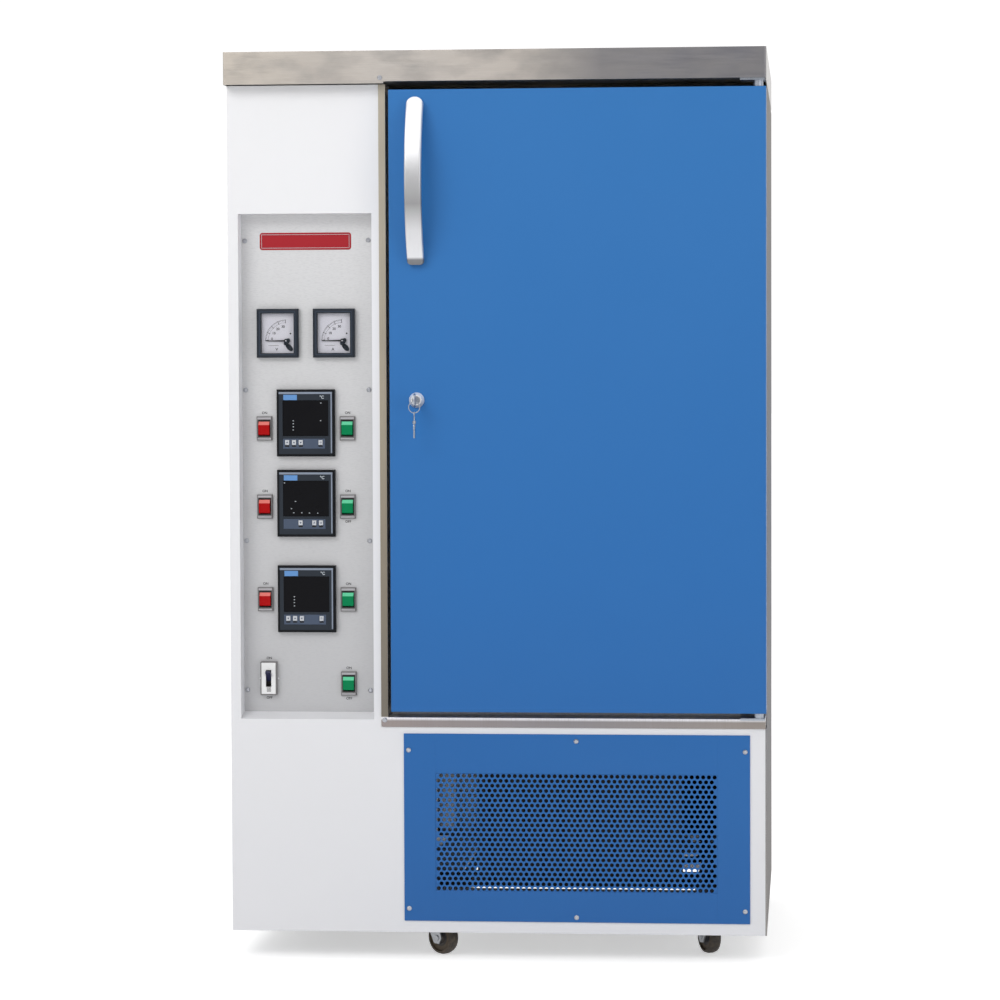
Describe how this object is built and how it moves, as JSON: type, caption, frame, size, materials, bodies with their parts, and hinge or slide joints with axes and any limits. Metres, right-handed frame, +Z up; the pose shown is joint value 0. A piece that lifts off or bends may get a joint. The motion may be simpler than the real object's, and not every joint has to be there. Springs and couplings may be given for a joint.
{
  "type": "environmental test chamber",
  "caption": "Floor-standing climate chamber on casters: insulated box with a hinged front door, recessed instrument panel and a vented machine bay below.",
  "frame": {"origin": "on the floor, under the middle of the overall box", "axes": "+Z up along the height, +Y towards the back along the depth, +X to the right seen from the front"},
  "size_m": [0.78, 0.705, 1.3145],
  "materials": {
    "white_paint": "satin",
    "blue_paint": "satin",
    "stainless": "satin",
    "bright_steel": "polished",
    "zinc_steel": "satin",
    "plate_aluminium": "satin",
    "fin_aluminium": "satin",
    "glass_wool": "matte",
    "silicone": "matte",
    "brass": "satin",
    "black_plastic": "gloss",
    "dark_bezel": "satin",
    "dial_white": "matte",
    "clear_window": "gloss",
    "red_plastic": "gloss",
    "green_plastic": "gloss",
    "key_rubber": "matte",
    "tyre_rubber": "matte",
    "black_enamel": "satin",
    "lever_plastic": "satin"
  },
  "bodies": {
    "cabinet": {"base_frame": "zinc_steel", "left_side_panel": "white_paint", "right_side_panel": "stainless", "rear_panel": "white_paint", "top_cap": "stainless", "front_panel": "white_paint", "door_frame": "stainless", "hinge_brackets": "bright_steel", "control_plate": "plate_aluminium", "panel_screws": "bright_steel", "meter_cases": "dark_bezel", "meter_dials": "dial_white", "instrument_windows": "clear_window", "controller_cases": "dark_bezel", "switch_housings": "dark_bezel", "grille_panel": "blue_paint", "inner_liner": "stainless", "cabinet_insulation": "glass_wool", "shelves": "stainless", "air_duct_panel": "stainless", "fan_motors": "black_enamel", "heater_coil": "stainless", "evaporator_coil": "fin_aluminium", "humidifier": "stainless", "sensor_probe": "bright_steel", "compressor": "black_enamel", "condenser_coil": "fin_aluminium", "relay_tray": "black_plastic", "caster_mounts": "zinc_steel"},
    "door": {"door_shell": "blue_paint", "door_core": "glass_wool", "door_liner": "stainless", "door_gasket": "silicone", "door_handle": "bright_steel", "door_hinge_bushes": "brass", "lock_barrel": "bright_steel"},
    "lock": {"lock_plug": "bright_steel"},
    "keys": {"key_ring": "bright_steel"},
    "breaker": {"breaker_lever": "lever_plastic"},
    "needle_left": {"meter_needle_left": "black_plastic"},
    "needle_right": {"meter_needle_right": "black_plastic"},
    "circulation_rotor": {"circulation_fan": "fin_aluminium"},
    "condenser_rotor": {"condenser_fan": "black_plastic"},
    "rocker_red_1": {"rocker_red_1": "red_plastic"},
    "rocker_red_2": {"rocker_red_2": "red_plastic"},
    "rocker_red_3": {"rocker_red_3": "red_plastic"},
    "rocker_green_1": {"rocker_green_1": "green_plastic"},
    "rocker_green_2": {"rocker_green_2": "green_plastic"},
    "rocker_green_3": {"rocker_green_3": "green_plastic"},
    "rocker_green_4": {"rocker_green_4": "green_plastic"},
    "keypad_1": {"controller_keypad_1": "key_rubber"},
    "keypad_2": {"controller_keypad_2": "key_rubber"},
    "keypad_3": {"controller_keypad_3": "key_rubber"},
    "fork_front_left": {"caster_fork_front_left": "zinc_steel"},
    "fork_front_right": {"caster_fork_front_right": "zinc_steel"},
    "wheel_front_left": {"caster_wheel_front_left": "tyre_rubber"},
    "wheel_front_right": {"caster_wheel_front_right": "tyre_rubber"},
    "wheel_rear_left": {"caster_wheel_rear_left": "tyre_rubber"},
    "wheel_rear_right": {"caster_wheel_rear_right": "tyre_rubber"}
  },
  "joints": [
    {"name": "door_hinge", "type": "hinge", "parent": "cabinet", "child": "door", "pos_m": [0.3785, -0.2975, 0.811], "axis": [0, 0, 1], "range_deg": [0, 120]},
    {"name": "lock_turn", "type": "hinge", "parent": "door", "child": "lock", "pos_m": [-0.1115, -0.2955, 0.8135], "axis": [0, -1, 0], "range_deg": [0, 90]},
    {"name": "key_swing", "type": "hinge", "parent": "lock", "child": "keys", "pos_m": [-0.1115, -0.3415, 0.8135], "axis": [1, 0, 0], "range_deg": [-45, 30]},
    {"name": "breaker_toggle", "type": "hinge", "parent": "cabinet", "child": "breaker", "pos_m": [-0.336, -0.2555, 0.407], "axis": [1, 0, 0], "range_deg": [0, 50]},
    {"name": "needle_left_sweep", "type": "hinge", "parent": "cabinet", "child": "needle_left", "pos_m": [-0.3075, -0.2628, 0.8995], "axis": [0, 1, 0], "range_deg": [0, 90], "stiffness_Nm_per_rad": 0.00005},
    {"name": "needle_right_sweep", "type": "hinge", "parent": "cabinet", "child": "needle_right", "pos_m": [-0.225, -0.2628, 0.8995], "axis": [0, 1, 0], "range_deg": [0, 90], "stiffness_Nm_per_rad": 0.00005},
    {"name": "rocker_red_1_rock", "type": "hinge", "parent": "cabinet", "child": "rocker_red_1", "pos_m": [-0.3405, -0.2607, 0.772], "axis": [1, 0, 0], "range_deg": [0, 20]},
    {"name": "rocker_red_2_rock", "type": "hinge", "parent": "cabinet", "child": "rocker_red_2", "pos_m": [-0.3405, -0.2607, 0.658], "axis": [1, 0, 0], "range_deg": [0, 20]},
    {"name": "rocker_red_3_rock", "type": "hinge", "parent": "cabinet", "child": "rocker_red_3", "pos_m": [-0.3405, -0.2607, 0.5225], "axis": [1, 0, 0], "range_deg": [0, 20]},
    {"name": "rocker_green_1_rock", "type": "hinge", "parent": "cabinet", "child": "rocker_green_1", "pos_m": [-0.2185, -0.2607, 0.772], "axis": [1, 0, 0], "range_deg": [0, 20]},
    {"name": "rocker_green_2_rock", "type": "hinge", "parent": "cabinet", "child": "rocker_green_2", "pos_m": [-0.2185, -0.2607, 0.658], "axis": [1, 0, 0], "range_deg": [0, 20]},
    {"name": "rocker_green_3_rock", "type": "hinge", "parent": "cabinet", "child": "rocker_green_3", "pos_m": [-0.2185, -0.2607, 0.5225], "axis": [1, 0, 0], "range_deg": [0, 20]},
    {"name": "rocker_green_4_rock", "type": "hinge", "parent": "cabinet", "child": "rocker_green_4", "pos_m": [-0.2185, -0.2607, 0.3995], "axis": [1, 0, 0], "range_deg": [0, 20]},
    {"name": "keypad_1_press", "type": "slide", "parent": "cabinet", "child": "keypad_1", "axis": [0, 1, 0], "range_m": [0, 0.0005], "stiffness_N_per_m": 1000},
    {"name": "keypad_2_press", "type": "slide", "parent": "cabinet", "child": "keypad_2", "axis": [0, 1, 0], "range_m": [0, 0.0005], "stiffness_N_per_m": 1000},
    {"name": "keypad_3_press", "type": "slide", "parent": "cabinet", "child": "keypad_3", "axis": [0, 1, 0], "range_m": [0, 0.0005], "stiffness_N_per_m": 1000},
    {"name": "caster_swivel_left", "type": "hinge", "parent": "cabinet", "child": "fork_front_left", "pos_m": [-0.101, -0.2215, 0.05], "axis": [0, 0, 1], "continuous": true},
    {"name": "caster_swivel_right", "type": "hinge", "parent": "cabinet", "child": "fork_front_right", "pos_m": [0.315, -0.2215, 0.05], "axis": [0, 0, 1], "continuous": true},
    {"name": "wheel_front_left_roll", "type": "hinge", "parent": "fork_front_left", "child": "wheel_front_left", "pos_m": [-0.08415, -0.23564, 0.025], "axis": [-0.6428, -0.766, 0], "continuous": true},
    {"name": "wheel_front_right_roll", "type": "hinge", "parent": "fork_front_right", "child": "wheel_front_right", "pos_m": [0.30467, -0.20208, 0.025], "axis": [0.8829, 0.4695, 0], "continuous": true},
    {"name": "wheel_rear_left_roll", "type": "hinge", "parent": "cabinet", "child": "wheel_rear_left", "pos_m": [-0.101, 0.2505, 0.025], "axis": [-1, 0, 0], "continuous": true},
    {"name": "wheel_rear_right_roll", "type": "hinge", "parent": "cabinet", "child": "wheel_rear_right", "pos_m": [0.315, 0.2505, 0.025], "axis": [-1, 0, 0], "continuous": true},
    {"name": "circulation_fan_spin", "type": "hinge", "parent": "cabinet", "child": "circulation_rotor", "pos_m": [0.1155, 0.188, 1.08], "axis": [0, 1, 0], "continuous": true},
    {"name": "condenser_fan_spin", "type": "hinge", "parent": "cabinet", "child": "condenser_rotor", "pos_m": [0.1155, -0.1455, 0.21875], "axis": [0, 1, 0], "continuous": true}
  ]
}
